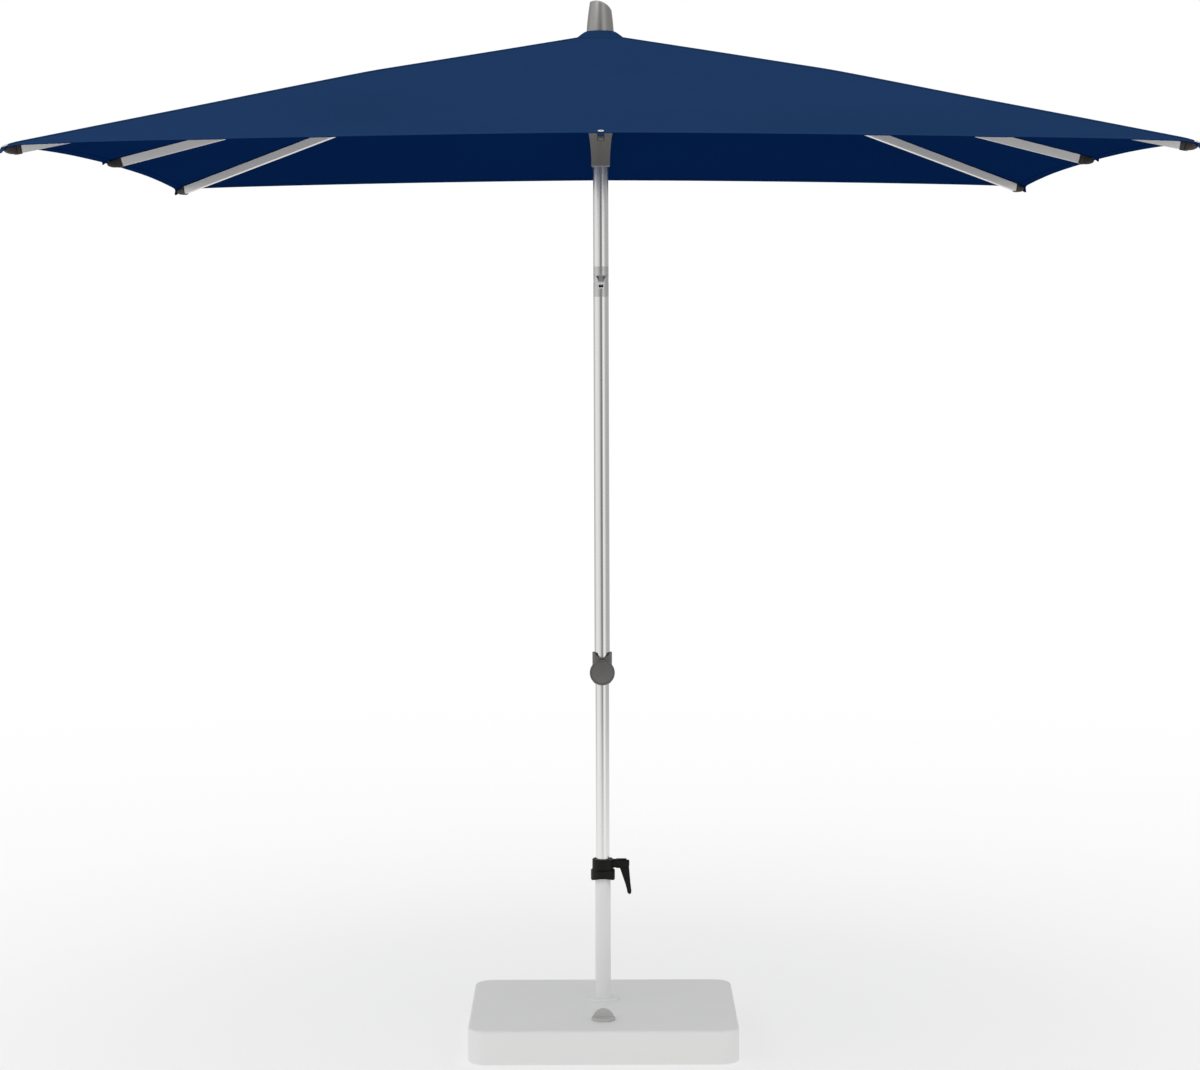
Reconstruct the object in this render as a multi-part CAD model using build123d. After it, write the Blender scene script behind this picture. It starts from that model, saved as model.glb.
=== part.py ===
from build123d import *
import math
import os

# Square centre-pole garden umbrella on a filled base, in millimetres.
# Origin: on the ground under the pole axis. +Z up, -Y to the front, +X to the right.

# --- canopy and ribs -------------------------------------------------------
HALF_SIDE = 1200.0            # half the side of the square canopy
HEM_MID_RIB_Z = 2140.0        # fabric height where a middle rib meets the hem
HEM_QUARTER_Z = 2132.0        # fabric height halfway between two rib tips
HEM_CORNER_Z = 2118.0         # fabric height at the corners
APEX_R, APEX_Z = 60.0, 2430.0  # where the sloping cloth leaves the top cap
BOW_R, BOW_Z = 718.0, 2316.0  # the long corner ribs are bowed down beyond this point
BOW_RADIUS = 6000.0           # radius of that bow, at the rib's centre line
CLOTH = 1.0                   # thickness of the cloth solids
CLOTH_SEAM = 0.5              # half the gap left between two cloth solids
RIB_H, RIB_W, RIB_WALL = 20.0, 12.0, 1.4
MID_RIB_DROP = 11.8           # rib centre line under the outer face of the cloth
CORNER_RIB_DROP = 13.0
RIB_INNER_R = 32.0
RIB_END_LENGTH = 36.0         # the moulded beak at the tip of a rib
TIP_INSET = 3.0               # beak's point, back from the edge of the cloth
END_BAND = 8.0                # band of the beak that wraps the rib's end
END_LIP = 3.0                 # the same band in front of the rib's end
END_WALL = 1.5                # how far the band stands out from the rib
END_PLUG = 14.0               # stub of the beak inside the rib
BEAK_HALF = 5.0               # half the beak's width
CLOTH_LOW, CLOTH_HIGH = 2000.0, 2500.0  # heights that hold all of the cloth and its ribs

# --- folding linkage: a rib and its strut are the two equal sides of a triangle
PIVOT_R = 40.0                # rib pivots on the crown and strut pivots on the runner
CROWN_PIVOT_Z = 2422.0
RUNNER_PIVOT_Z = 2217.0
BRACKET_R = 440.0             # strut pivots on the ribs
BRACKET_Z = (CROWN_PIVOT_Z + RUNNER_PIVOT_Z) / 2
PIN_R = 2.0
PIN_HOLE_R = 2.05
STRUT_IN, STRUT_OUT = 8.0, 11.0   # the two flat bars of a strut, from the rib's plane
STRUT_H = 14.0
HEAD_R, HEAD_T = 4.0, 1.5
BRACKET_PLATE = 1.5

# --- pole ------------------------------------------------------------------
UPPER_R = 18.5
UPPER_BORE_R = 16.8
LOWER_R = 16.5
LOWER_WALL = 1.8
SPIGOT_R = 16.75
LOWER_POLE_Z = (90.0, 1460.0)
UPPER_POLE_Z = (879.0, 1812.0)
MAST_Z = (1885.0, 2429.0)
TILT_Z = 1851.0
SPIGOT_LENGTH = 40.0
TILT_MAX = 35.0
TONGUE_HALF = 6.0
SLOT_HALF = 6.4
PRONG_R, SEAT_R = 17.0, 17.4
TILT_PIN_R = 4.0

# --- crown, top cap and finial ---------------------------------------------
CROWN_R, CROWN_BOSS_R = 50.0, 25.0
CROWN_Z = (2399.0, 2446.0)
CROWN_SHOULDER_Z = 2433.0
CROWN_NECK_R = 34.0
RIB_SLOT_HALF = 6.4
RIB_SLOT_TOP = 2436.5
CAP_FLAT_R = 35.0
CAP_R = 57.5
CAP_TOP = 2447.0
FINIAL_BASE_R, FINIAL_TOP_R = 32.5, 23.0
FINIAL_TOP_Z = 2519.0
FINIAL_CROWN_R = 46.0         # radius of its arched top
FINIAL_CROWN_X = -12.0        # where the arch is highest, left of the pole axis
FINIAL_EDGE_R = 3.0
BOLT_R = 5.9

# --- runner ----------------------------------------------------------------
RUNNER_BORE_R = 18.9
RUNNER_Z = (2124.0, 2228.0)
RUNNER_FOOT_R, RUNNER_FLARE_R = 22.5, 29.0
RUNNER_FLARE_Z = 2206.0
LUG_HALF = 7.5
LUG_R = 6.5

# --- telescope clamp -------------------------------------------------------
COLLAR_Z = (870.0, 946.0)
COLLAR_R, COLLAR_FOOT_R = 24.0, 19.5
COLLAR_TAPER_Z = 893.0
COLLAR_DIP, COLLAR_DIP_R = 12.0, 19.0
KNOB_Z = 901.0
KNOB_R, KNOB_T = 30.5, 16.0
KNOB_FACE_Y = 52.0            # distance of the knob's front from the pole axis
KNOB_BOSS_R = 11.0
SCREW_R = 4.0

# --- base ------------------------------------------------------------------
SLAB_X, SLAB_TOP, SLAB_BOTTOM = 645.0, 84.0, 3.0
SLAB_Y = (-315.0, 204.0)
SLAB_CORNER_R, SLAB_EDGE_R, SLAB_WALL = 45.0, 6.0, 4.0
BALLAST_H = 48.0
FOOT_R, FOOT_INSET = 22.0, 60.0
FLANGE_R, FLANGE_T = 39.0, 4.0
STEM_R, STEM_BORE_R = 19.0, 16.8
STEM_TOP = 411.0
PLUG_Y = -205.0
PLUG_R, PLUG_RIM, PLUG_FIN_H = 28.0, 7.0, 20.0
NECK_R = 20.0

# --- base clamp ------------------------------------------------------------
CLAMP_Z = (384.0, 435.0)
CLAMP_STEP_Z = 410.0
CLAMP_LOW_R, CLAMP_TOP_R = 29.5, 26.0
LEVER_Z = 423.0
LEVER_BOSS_R, LEVER_BOSS_X = 11.0, 49.5
LEVER_HUB_X = (50.2, 70.0)
LEVER_HUB_R = 12.0
LEVER_REACH = 74.0

MIDDLE = {"right": 0.0, "back": 90.0, "left": 180.0, "front": -90.0}
CORNER = {"back_right": 45.0, "back_left": 135.0, "front_left": -135.0, "front_right": -45.0}


def save(shape, node):
    """Write one named piece to its own file."""
    shape.label = node
    export_step(shape, f"parts/{node}.step")


def join(solids):
    """Several separate solids kept together in one piece of hardware."""
    return Compound(children=list(solids))


def upright(radius, low, high, x=0.0, y=0.0):
    """A solid round bar standing along Z."""
    return Pos(x, y, (low + high) / 2) * Cylinder(radius, high - low)


def pipe(outer, inner, low, high):
    """A round tube on the pole axis."""
    return upright(outer, low, high) - upright(inner, low - 1, high + 1)


def bar_x(radius, start, end, y=0.0, z=0.0):
    """A round bar lying along X."""
    return Pos((start + end) / 2, y, z) * Rot(0, 90, 0) * Cylinder(radius, end - start)


def bar_y(radius, start, end, x=0.0, z=0.0):
    """A round bar lying along Y."""
    return Pos(x, (start + end) / 2, z) * Rot(90, 0, 0) * Cylinder(radius, end - start)


def block(x, y, z):
    """A rectangular block from three (low, high) pairs."""
    middle = [(low + high) / 2 for low, high in (x, y, z)]
    size = [high - low for low, high in (x, y, z)]
    return Pos(*middle) * Box(*size)


def turned(points):
    """A body of revolution about Z from (radius, height) points."""
    outline = Polyline(*[(r, 0, z) for r, z in points], close=True)
    return revolve(make_face(outline), Axis.Z)


def side_plate(edges, low, high):
    """A plate with an outline in the XZ plane, reaching from Y = low to Y = high."""
    return Pos(0, low, 0) * extrude(make_face(edges), amount=high - low, dir=(0, 1, 0))


def twin(edges, near, far):
    """The same plate on both sides of the XZ plane."""
    return [side_plate(edges, near, far), side_plate(edges, -far, -near)]


def stadium(a, b, radius):
    """Edges of a slot-shaped outline round two points (x, z) of the XZ plane."""
    dx, dz = b[0] - a[0], b[1] - a[1]
    length = math.hypot(dx, dz)
    ux, uz = dx / length * radius, dz / length * radius
    nx, nz = -uz, ux
    return [
        Line((a[0] + nx, 0, a[1] + nz), (b[0] + nx, 0, b[1] + nz)),
        ThreePointArc((b[0] + nx, 0, b[1] + nz), (b[0] + ux, 0, b[1] + uz), (b[0] - nx, 0, b[1] - nz)),
        Line((b[0] - nx, 0, b[1] - nz), (a[0] - nx, 0, a[1] - nz)),
        ThreePointArc((a[0] - nx, 0, a[1] - nz), (a[0] - ux, 0, a[1] - uz), (a[0] + nx, 0, a[1] + nz)),
    ]


# --- a rib: its centre line lies in the XZ plane and is turned into place ----

def shifted(points, distance):
    """A line of (x, z) points moved sideways by distance, up being positive."""
    normals = []
    for a, b in zip(points, points[1:]):
        length = math.hypot(b[0] - a[0], b[1] - a[1])
        normals.append((-(b[1] - a[1]) / length, (b[0] - a[0]) / length))
    moved = []
    for i, (x, z) in enumerate(points):
        before, after = normals[max(i - 1, 0)], normals[min(i, len(normals) - 1)]
        nx, nz = before[0] + after[0], before[1] + after[1]
        scale = 2 * distance / (nx * nx + nz * nz)
        moved.append((x + nx * scale, z + nz * scale))
    return moved


def ridge(is_corner):
    """The outer face of the cloth over a rib, as (radius, height) points from the pole out."""
    if is_corner:
        return [(APEX_R, APEX_Z), (BOW_R, BOW_Z), (HALF_SIDE * math.sqrt(2), HEM_CORNER_Z)]
    return [(APEX_R, APEX_Z), (HALF_SIDE, HEM_MID_RIB_Z)]


def along(a, b, radius):
    """The height at a radius on the straight line through two points."""
    return a[1] + (b[1] - a[1]) * (radius - a[0]) / (b[0] - a[0])


def rib_line(is_corner, start, end):
    """The centre line of a rib between two radii."""
    drop = CORNER_RIB_DROP if is_corner else MID_RIB_DROP
    points = shifted(ridge(is_corner), -drop)

    def spot(radius):
        """The point of the line at a radius, on the first or the last straight run."""
        a, b = points[:2] if radius < points[1][0] else points[-2:]
        return (radius, along(a, b, radius))

    bends = [p for p in points[1:-1] if start < p[0] < end]
    return [spot(start), *bends, spot(end)]


def path(points, radius):
    """Straight or gently bowed edges through (x, z) points."""
    placed = [(x, 0, z) for x, z in points]
    if len(placed) == 2:
        return [Line(*placed)]
    return [FilletPolyline(*placed, radius=radius)]


def rail(points, half_height, half_width):
    """A bar of rectangular section along a centre line."""
    top, bottom = shifted(points, half_height), shifted(points, -half_height)
    edges = path(top, BOW_RADIUS + half_height)
    edges += [Line((top[-1][0], 0, top[-1][1]), (bottom[-1][0], 0, bottom[-1][1]))]
    edges += path(bottom, BOW_RADIUS - half_height)
    edges += [Line((bottom[0][0], 0, bottom[0][1]), (top[0][0], 0, top[0][1]))]
    return side_plate(edges, -half_width, half_width)


def tip_radius(is_corner):
    """Radius of the beak's point."""
    reach = HALF_SIDE * math.sqrt(2) if is_corner else HALF_SIDE
    return reach - TIP_INSET


def rib_end_radius(is_corner):
    """Radius at which the aluminium tube stops."""
    return tip_radius(is_corner) - RIB_END_LENGTH


def rib_tube(is_corner):
    """A rectangular tube with its pivot holes."""
    line = rib_line(is_corner, RIB_INNER_R, rib_end_radius(is_corner))
    tube = rail(line, RIB_H / 2, RIB_W / 2) - rail(line, RIB_H / 2 - RIB_WALL, RIB_W / 2 - RIB_WALL)
    tube -= bar_y(PIN_HOLE_R, -RIB_W, RIB_W, PIVOT_R, CROWN_PIVOT_Z)
    if not is_corner:
        tube -= bar_y(PIN_HOLE_R, -RIB_W, RIB_W, BRACKET_R, BRACKET_Z)
    return tube


def rib_end(is_corner):
    """The beak-shaped moulding that closes a rib and holds the hem."""
    start, tip = rib_end_radius(is_corner), tip_radius(is_corner)
    (x0, z0), (x1, z1) = rib_line(is_corner, start, tip)
    length = math.hypot(x1 - x0, z1 - z0)
    ux, uz = (x1 - x0) / length, (z1 - z0) / length

    def at(s, w):
        """A point s along the rib from the tube's end and w above its centre line."""
        return (x0 + ux * s - uz * w, 0, z0 + uz * s + ux * w)

    half = RIB_H / 2
    foot = -half - END_WALL
    nose = at(RIB_END_LENGTH, half - 3.5)
    belly = [
        Line(at(0.2, half), at(RIB_END_LENGTH - 1, half - 2)),
        Line(at(RIB_END_LENGTH - 1, half - 2), nose),
        Spline(nose, at(0.72 * RIB_END_LENGTH, -half + 6.5), at(0.28 * RIB_END_LENGTH, -half + 2.5),
               at(0.2, -half + 1)),
        Line(at(0.2, -half + 1), at(0.2, half)),
    ]
    beak = side_plate(belly, -BEAK_HALF, BEAK_HALF)
    band = [
        Line(at(-END_BAND, half), at(0.2, half)),
        Line(at(0.2, half), at(0.2, foot)),
        Line(at(0.2, foot), at(-END_BAND, foot)),
        Line(at(-END_BAND, foot), at(-END_BAND, half)),
    ]
    sleeve = side_plate(band, -RIB_W / 2 - END_WALL, RIB_W / 2 + END_WALL)
    sleeve -= rail(rib_line(is_corner, start - END_PLUG, start), RIB_H / 2 + 0.05, RIB_W / 2 + 0.05)
    lip = [
        Line(at(0.2, half), at(END_LIP, half)),
        Line(at(END_LIP, half), at(END_LIP, foot)),
        Line(at(END_LIP, foot), at(0.2, foot)),
        Line(at(0.2, foot), at(0.2, half)),
    ]
    inner = rail(rib_line(is_corner, start - END_PLUG, start + 2), half - RIB_WALL - 0.1,
                 RIB_W / 2 - RIB_WALL - 0.1)
    return beak + sleeve + side_plate(lip, -RIB_W / 2 - END_WALL, RIB_W / 2 + END_WALL) + inner


def corner_bracket():
    """The folded plate that drops below a corner rib to carry its strut."""
    x = BRACKET_R
    low, high = x - 34, x + 34
    line = rib_line(True, low, high)
    top, foot = shifted(line, RIB_H / 2 - 3), (BRACKET_R, BRACKET_Z)
    sides = [
        Line((top[0][0], 0, top[0][1]), (top[1][0], 0, top[1][1])),
        Line((top[1][0], 0, top[1][1]), (high - 4, 0, shifted(line, -RIB_H / 2)[1][1])),
        Line((high - 4, 0, shifted(line, -RIB_H / 2)[1][1]), (foot[0] + 9, 0, foot[1])),
        ThreePointArc((foot[0] + 9, 0, foot[1]), (foot[0], 0, foot[1] - 9), (foot[0] - 9, 0, foot[1])),
        Line((foot[0] - 9, 0, foot[1]), (low + 4, 0, shifted(line, -RIB_H / 2)[0][1])),
        Line((low + 4, 0, shifted(line, -RIB_H / 2)[0][1]), (top[0][0], 0, top[0][1])),
    ]
    half = RIB_W / 2
    plates = twin(sides, half, half + BRACKET_PLATE)
    floor = shifted(line, -RIB_H / 2 - BRACKET_PLATE / 2)
    web = rail(floor, BRACKET_PLATE / 2, half + BRACKET_PLATE)
    web = web & block((low + 6, high - 6), (-20, 20), (CLOTH_LOW, CLOTH_HIGH))
    shape = plates[0] + plates[1] + web
    for step in (-20.0, 20.0):
        spot = rib_line(True, RIB_INNER_R, x + step)[-1]
        for side in (-1, 1):
            near, far = sorted((side * half, side * (half + BRACKET_PLATE + 0.4)))
            shape += bar_y(HEAD_R, near, far, *spot)
    return shape - bar_y(PIN_HOLE_R, -20, 20, foot[0], foot[1])


def riveted(x, z, reach):
    """A headed pin across the rib's plane."""
    pin = bar_y(PIN_R, -reach, reach, x, z)
    return pin + bar_y(HEAD_R, reach, reach + HEAD_T, x, z) + bar_y(HEAD_R, -reach - HEAD_T, -reach, x, z)


def strut():
    """Two flat bars and the pin that joins them to the rib."""
    bracket, runner = (BRACKET_R, BRACKET_Z), (PIVOT_R, RUNNER_PIVOT_Z)
    bars = []
    for bar in twin(stadium(runner, bracket, STRUT_H / 2), STRUT_IN, STRUT_OUT):
        bar -= bar_y(PIN_HOLE_R, -20, 20, *runner)
        bars.append(bar - bar_y(PIN_HOLE_R, -20, 20, *bracket))
    return join([*bars, riveted(*bracket, STRUT_OUT)])


def under(corners):
    """A flat triangle of cloth, thickened straight down."""
    face = make_face(Polyline(*corners, close=True))
    return extrude(face, amount=CLOTH, dir=(0, 0, -1))


def gore(is_corner):
    """The cloth that a rib carries: two flat wings falling away from the ridge."""
    if is_corner:
        hem = (1.5 * HALF_SIDE / math.sqrt(2), 0.5 * HALF_SIDE / math.sqrt(2))
    else:
        hem = (HALF_SIDE, HALF_SIDE / 2)
    turn = math.atan2(hem[1], hem[0])
    shape = None
    for side in (1, -1):
        quarter = (hem[0], side * hem[1], HEM_QUARTER_Z)
        inner = (APEX_R * math.cos(turn), side * APEX_R * math.sin(turn), APEX_Z)
        spine = [(r, 0, z) for r, z in ridge(is_corner)]
        wing = under([spine[0], quarter, inner])
        for a, b in zip(spine, spine[1:]):
            wing += under([a, b, quarter])
        shape = wing if shape is None else shape + wing
    start = CLOTH_SEAM / math.sin(turn)
    reach = 2 * HALF_SIDE
    wedge = Polyline((start, 0), (start + reach * math.cos(turn), reach * math.sin(turn)),
                     (start + reach * math.cos(turn), -reach * math.sin(turn)), close=True)
    keep = Pos(0, 0, CLOTH_LOW) * extrude(make_face(wedge), amount=CLOTH_HIGH - CLOTH_LOW)
    return shape & keep


# --- crown, runner, top -----------------------------------------------------

def ring_of(shape):
    """Eight copies of a shape round the pole."""
    return [Rot(0, 0, angle) * shape for angle in sorted([*MIDDLE.values(), *CORNER.values()])]


def crown():
    """The hub at the top of the mast with a slot for each rib."""
    low, high = CROWN_Z
    body = turned([(0, low - 14), (CROWN_BOSS_R, low - 14), (CROWN_BOSS_R, low), (CROWN_R, low),
                   (CROWN_R, CROWN_SHOULDER_Z), (CROWN_NECK_R, high), (0, high)])
    body -= upright(UPPER_R + 0.05, low - 20, MAST_Z[1])
    body -= upright(BOLT_R + 0.1, MAST_Z[1] - 1, high + 1)
    slot = block((CROWN_BOSS_R + 0.5, CROWN_R + 5), (-RIB_SLOT_HALF, RIB_SLOT_HALF), (low - 5, RIB_SLOT_TOP))
    for cut in ring_of(slot):
        body -= cut
    for hole in ring_of(bar_y(PIN_R + 0.02, -10, 10, PIVOT_R, CROWN_PIVOT_Z)):
        body -= hole
    return body


def canopy_cap():
    """The round cloth reinforcement clamped between crown and finial."""
    return turned([(BOLT_R + 0.3, CAP_TOP - CLOTH), (CAP_FLAT_R - 0.4, CAP_TOP - CLOTH),
                   (CAP_R, along((CAP_FLAT_R, CAP_TOP), (APEX_R, APEX_Z), CAP_R) - CLOTH),
                   (CAP_R, along((CAP_FLAT_R, CAP_TOP), (APEX_R, APEX_Z), CAP_R)),
                   (CAP_FLAT_R, CAP_TOP), (BOLT_R + 0.3, CAP_TOP)])


def finial():
    """The cap on top, arched down to one side, with its bolt into the crown."""
    top = FINIAL_TOP_Z + 5
    flank = Spline((FINIAL_BASE_R, 0, CAP_TOP + 3), (FINIAL_BASE_R - 3, 0, CAP_TOP + 34), (FINIAL_TOP_R, 0, top))
    edges = [
        Line((0, 0, CAP_TOP), (FINIAL_BASE_R, 0, CAP_TOP)),
        Line((FINIAL_BASE_R, 0, CAP_TOP), (FINIAL_BASE_R, 0, CAP_TOP + 3)),
        flank,
        Line((FINIAL_TOP_R, 0, top), (0, 0, top)),
        Line((0, 0, top), (0, 0, CAP_TOP)),
    ]
    body = revolve(make_face(edges), Axis.Z)
    middle = FINIAL_TOP_Z - FINIAL_CROWN_R
    arch = bar_y(FINIAL_CROWN_R, -50, 50, FINIAL_CROWN_X, middle) + block((-50, 50), (-50, 50), (CAP_TOP - 1, middle))
    body = body & arch
    rim = body.edges().filter_by_position(Axis.Z, CAP_TOP + 20, top)
    body = fillet(rim, FINIAL_EDGE_R)
    return body + upright(BOLT_R, MAST_Z[1] + 1, CAP_TOP + 1)


def runner():
    """The flared sliding sleeve with a lug for each strut."""
    low, high = RUNNER_Z
    hub = RUNNER_FLARE_R + 2
    flare = Spline((RUNNER_FOOT_R, 0, low + 3), (RUNNER_FOOT_R + 1.2, 0, low + 40),
                   (RUNNER_FLARE_R, 0, RUNNER_FLARE_Z))
    edges = [
        Line((RUNNER_BORE_R, 0, low), (RUNNER_FOOT_R - 3, 0, low)),
        ThreePointArc((RUNNER_FOOT_R - 3, 0, low), (RUNNER_FOOT_R - 0.88, 0, low + 0.88),
                      (RUNNER_FOOT_R, 0, low + 3)),
        flare,
        Line((RUNNER_FLARE_R, 0, RUNNER_FLARE_Z), (hub, 0, RUNNER_FLARE_Z + 3)),
        Line((hub, 0, RUNNER_FLARE_Z + 3), (hub, 0, high - 2)),
        Line((hub, 0, high - 2), (hub - 2, 0, high)),
        Line((hub - 2, 0, high), (RUNNER_BORE_R, 0, high)),
        Line((RUNNER_BORE_R, 0, high), (RUNNER_BORE_R, 0, low)),
    ]
    body = revolve(make_face(edges), Axis.Z)
    lug = stadium((RUNNER_FOOT_R + 3, RUNNER_PIVOT_Z), (PIVOT_R, RUNNER_PIVOT_Z), LUG_R)
    for piece in ring_of(side_plate(lug, -LUG_HALF, LUG_HALF)):
        body += piece
    for hole in ring_of(bar_y(PIN_R + 0.02, -10, 10, PIVOT_R, RUNNER_PIVOT_Z)):
        body -= hole
    return body - upright(RUNNER_BORE_R, low - 1, high + 1)


# --- tilt joint -------------------------------------------------------------

def tilt_fork():
    """The lower half of the tilt joint: two round-tipped prongs and a spigot."""
    low = UPPER_POLE_Z[1]
    shape = upright(SPIGOT_R, low - SPIGOT_LENGTH, low + 1) + upright(UPPER_R, low, TILT_Z)
    prongs = bar_x(PRONG_R, -UPPER_R, UPPER_R, 0, TILT_Z) & upright(UPPER_R, low, TILT_Z + UPPER_R)
    shape += prongs
    shape -= block((-SLOT_HALF, SLOT_HALF), (-30, 30), (TILT_Z - SEAT_R - 0.6, TILT_Z + 30))
    return shape - bar_x(TILT_PIN_R + 0.02, -30, 30, 0, TILT_Z)


def tilt_tongue():
    """The upper half: a tongue between the prongs, shoulders over them and a spigot."""
    high = MAST_Z[0]
    shape = upright(SPIGOT_R, high - 1, high + SPIGOT_LENGTH) + upright(UPPER_R, TILT_Z, high)
    seat = bar_x(SEAT_R, -UPPER_R - 1, UPPER_R + 1, 0, TILT_Z)
    far = 80.0
    wedge = []
    for side, angle in ((-1, TILT_MAX + 1.0), (1, 1.0)):
        rise = far * math.tan(math.radians(angle))
        edges = Polyline((0, 0, TILT_Z), (0, side * far, TILT_Z + rise),
                         (0, side * far, TILT_Z - far), (0, 0, TILT_Z - far), close=True)
        wedge.append(Pos(-far, 0, 0) * extrude(make_face(edges), amount=2 * far, dir=(1, 0, 0)))
    shape -= seat + wedge[0] + wedge[1]
    tongue = bar_x(PRONG_R, -TONGUE_HALF, TONGUE_HALF, 0, TILT_Z)
    tongue += block((-TONGUE_HALF, TONGUE_HALF), (-PRONG_R, PRONG_R), (TILT_Z, high - 2))
    tongue = tongue & upright(UPPER_R, TILT_Z - 30, high)
    return shape + tongue - bar_x(TILT_PIN_R + 0.06, -30, 30, 0, TILT_Z)


# --- telescope clamp --------------------------------------------------------

def telescope_collar():
    """The moulded collar on the foot of the upper pole, with a dipped rim."""
    low, high = COLLAR_Z
    body = turned([(0, low), (COLLAR_FOOT_R, low), (COLLAR_FOOT_R + 1, low + 1), (COLLAR_R, COLLAR_TAPER_Z),
                   (COLLAR_R, high), (0, high)])
    body += bar_y(KNOB_BOSS_R, -(KNOB_FACE_Y - KNOB_T) + 0.6, 0, 0, KNOB_Z)
    body -= upright(UPPER_R + 0.05, UPPER_POLE_Z[0], high + 1)
    body -= upright(UPPER_BORE_R, low - 1, high)
    body -= bar_y(COLLAR_DIP_R, -60, 0, 0, high - COLLAR_DIP + COLLAR_DIP_R)
    body -= block((-5, 5), (-COLLAR_R - 1, -COLLAR_R + 3), (high - 22, high - 15))
    return body - bar_y(SCREW_R + 0.1, -60, 0, 0, KNOB_Z)


def telescope_knob():
    """A round hand knob with a domed face inside a raised rim."""
    face, back = KNOB_FACE_Y, KNOB_FACE_Y - KNOB_T
    rim_in = KNOB_R - 4
    dome_r = 90.0
    centre = face - 1.8 - math.sqrt(dome_r ** 2 - rim_in ** 2)
    half_way = centre + math.sqrt(dome_r ** 2 - rim_in ** 2 / 4)
    edges = [
        Line((0, 0, back), (KNOB_R - 3, 0, back)),
        Line((KNOB_R - 3, 0, back), (KNOB_R, 0, back + 4)),
        Line((KNOB_R, 0, back + 4), (KNOB_R, 0, face - 3)),
        ThreePointArc((KNOB_R, 0, face - 3), (KNOB_R - 1, 0, face - 1), (KNOB_R - 3, 0, face - 0.2)),
        Line((KNOB_R - 3, 0, face - 0.2), (rim_in, 0, face - 1.8)),
        ThreePointArc((rim_in, 0, face - 1.8), (rim_in / 2, 0, half_way), (0, 0, centre + dome_r)),
        Line((0, 0, centre + dome_r), (0, 0, back)),
    ]
    body = revolve(make_face(edges), Axis.Z)
    body -= Pos(0, 0, back) * Cylinder(SCREW_R + 0.02, 16)
    return Pos(0, 0, KNOB_Z) * Rot(90, 0, 0) * body


def knob_screw():
    """The threaded bar of the knob, stopping just short of the lower pole."""
    return bar_y(SCREW_R, -(KNOB_FACE_Y - KNOB_T + 7), -(LOWER_R + 0.4), 0, KNOB_Z)


def upper_pole():
    """The wide tube between the telescope clamp and the tilt joint."""
    return pipe(UPPER_R, UPPER_BORE_R, *UPPER_POLE_Z) - bar_y(SCREW_R + 0.1, -60, 0, 0, KNOB_Z)


# --- base -------------------------------------------------------------------

def slab(inset, low, high):
    """A rounded plan of the base, drawn in from its outer face by inset."""
    width, depth = SLAB_X - 2 * inset, SLAB_Y[1] - SLAB_Y[0] - 2 * inset
    plan = RectangleRounded(width, depth, SLAB_CORNER_R - inset)
    return Pos(0, (SLAB_Y[0] + SLAB_Y[1]) / 2, low) * extrude(plan, amount=high - low)


def base_shell():
    """The hollow slab with its filling neck."""
    outer = slab(0, SLAB_BOTTOM, SLAB_TOP)
    outer = fillet(outer.faces().sort_by(Axis.Z)[-1].edges(), SLAB_EDGE_R)
    outer = chamfer(outer.faces().sort_by(Axis.Z)[0].edges(), 2.0)
    shell = outer - slab(SLAB_WALL, SLAB_BOTTOM + SLAB_WALL, SLAB_TOP - SLAB_WALL)
    return shell - upright(NECK_R, SLAB_TOP - SLAB_WALL - 1, SLAB_TOP + 1, 0, PLUG_Y)


def base_feet():
    """Four flat rubber pads under the corners."""
    half = SLAB_X / 2 - FOOT_INSET
    rows = (SLAB_Y[0] + FOOT_INSET, SLAB_Y[1] - FOOT_INSET)
    return join([upright(FOOT_R, 0, SLAB_BOTTOM, x, y) for x in (-half, half) for y in rows])


def filler_plug():
    """The stopper: a rim, a neck in the slab and a half-round grip."""
    rim = upright(PLUG_R, SLAB_TOP + 0.3, SLAB_TOP + PLUG_RIM)
    rim = fillet(rim.faces().sort_by(Axis.Z)[-1].edges(), 2.0)
    neck = upright(NECK_R - 0.4, SLAB_TOP - 14, SLAB_TOP + 1)
    width = PLUG_R - 3
    top = SLAB_TOP + PLUG_RIM
    grip = [
        Line((-width, 0, top - 1), (width, 0, top - 1)),
        Line((width, 0, top - 1), (width, 0, top)),
        ThreePointArc((width, 0, top), (0, 0, top + PLUG_FIN_H), (-width, 0, top)),
        Line((-width, 0, top), (-width, 0, top - 1)),
    ]
    return Pos(0, PLUG_Y, 0) * (rim + neck + side_plate(grip, -4.0, 4.0))


def stem_flange():
    """The round foot of the stem, with a chamfered edge."""
    ring = pipe(FLANGE_R, STEM_R + 0.02, SLAB_TOP, SLAB_TOP + FLANGE_T)
    return chamfer(ring.faces().sort_by(Axis.Z)[-1].edges().sort_by(SortBy.LENGTH)[-1], 1.5)


def base_clamp():
    """The black collar on top of the stem, with an arched foot and a boss for the lever."""
    low, high = CLAMP_Z
    body = turned([(0, low), (CLAMP_LOW_R, low), (CLAMP_LOW_R, CLAMP_STEP_Z - 3), (CLAMP_TOP_R, CLAMP_STEP_Z),
                   (CLAMP_TOP_R, high - 2), (CLAMP_TOP_R - 2, high), (0, high)])
    body += bar_x(LEVER_BOSS_R, 0, LEVER_BOSS_X, 0, LEVER_Z)
    body -= upright(STEM_R + 0.05, low - 1, STEM_TOP)
    body -= upright(STEM_BORE_R, low, high + 1)
    arch_r = 60.0
    body -= bar_y(arch_r, -60, 60, 0, low + 5 - arch_r)
    return body - bar_x(SCREW_R + 0.1, 0, 60, 0, LEVER_Z)


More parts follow.
